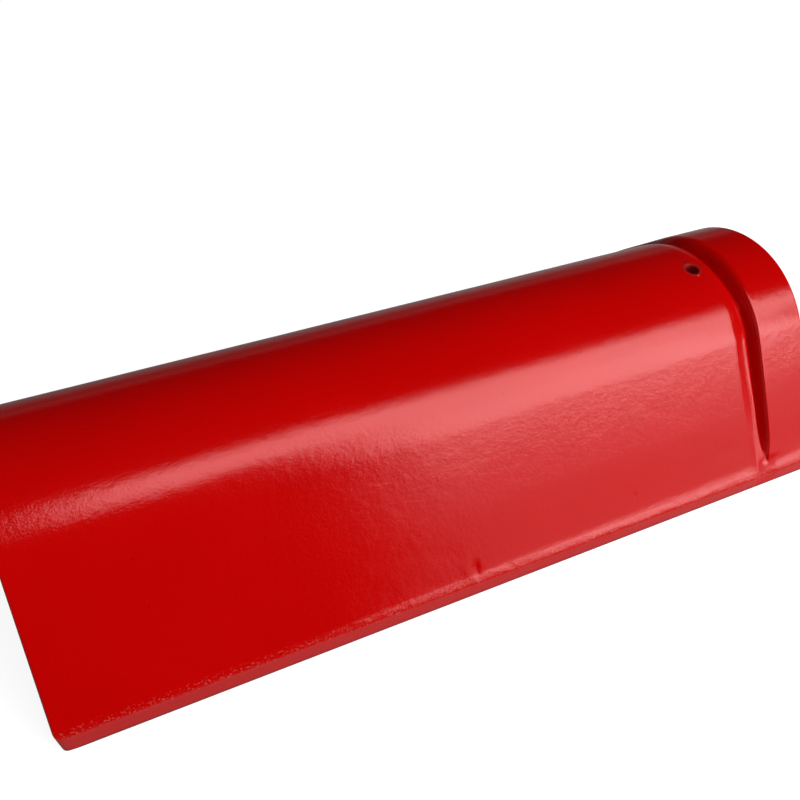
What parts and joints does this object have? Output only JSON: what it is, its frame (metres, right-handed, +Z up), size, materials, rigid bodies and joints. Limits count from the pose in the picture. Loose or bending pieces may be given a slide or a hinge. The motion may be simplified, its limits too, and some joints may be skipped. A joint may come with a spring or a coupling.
{
  "type": "clay ridge tile",
  "caption": "Arched roof ridge tile with flat sloping flanks, a rolled cross groove and end band at one end, and a nail hole on its crown line.",
  "frame": {"origin": "middle of the footprint, on the plane that the two feet rest on", "axes": "+X along the ridge towards the grooved end, +Y across the ridge, +Z up through the crown"},
  "size_m": [0.4, 0.1856, 0.0846],
  "materials": {
    "red_glaze": "glossy red coat over fine-grained fired clay"
  },
  "bodies": {
    "root": {"ridge_tile": "red_glaze"}
  },
  "joints": []
}
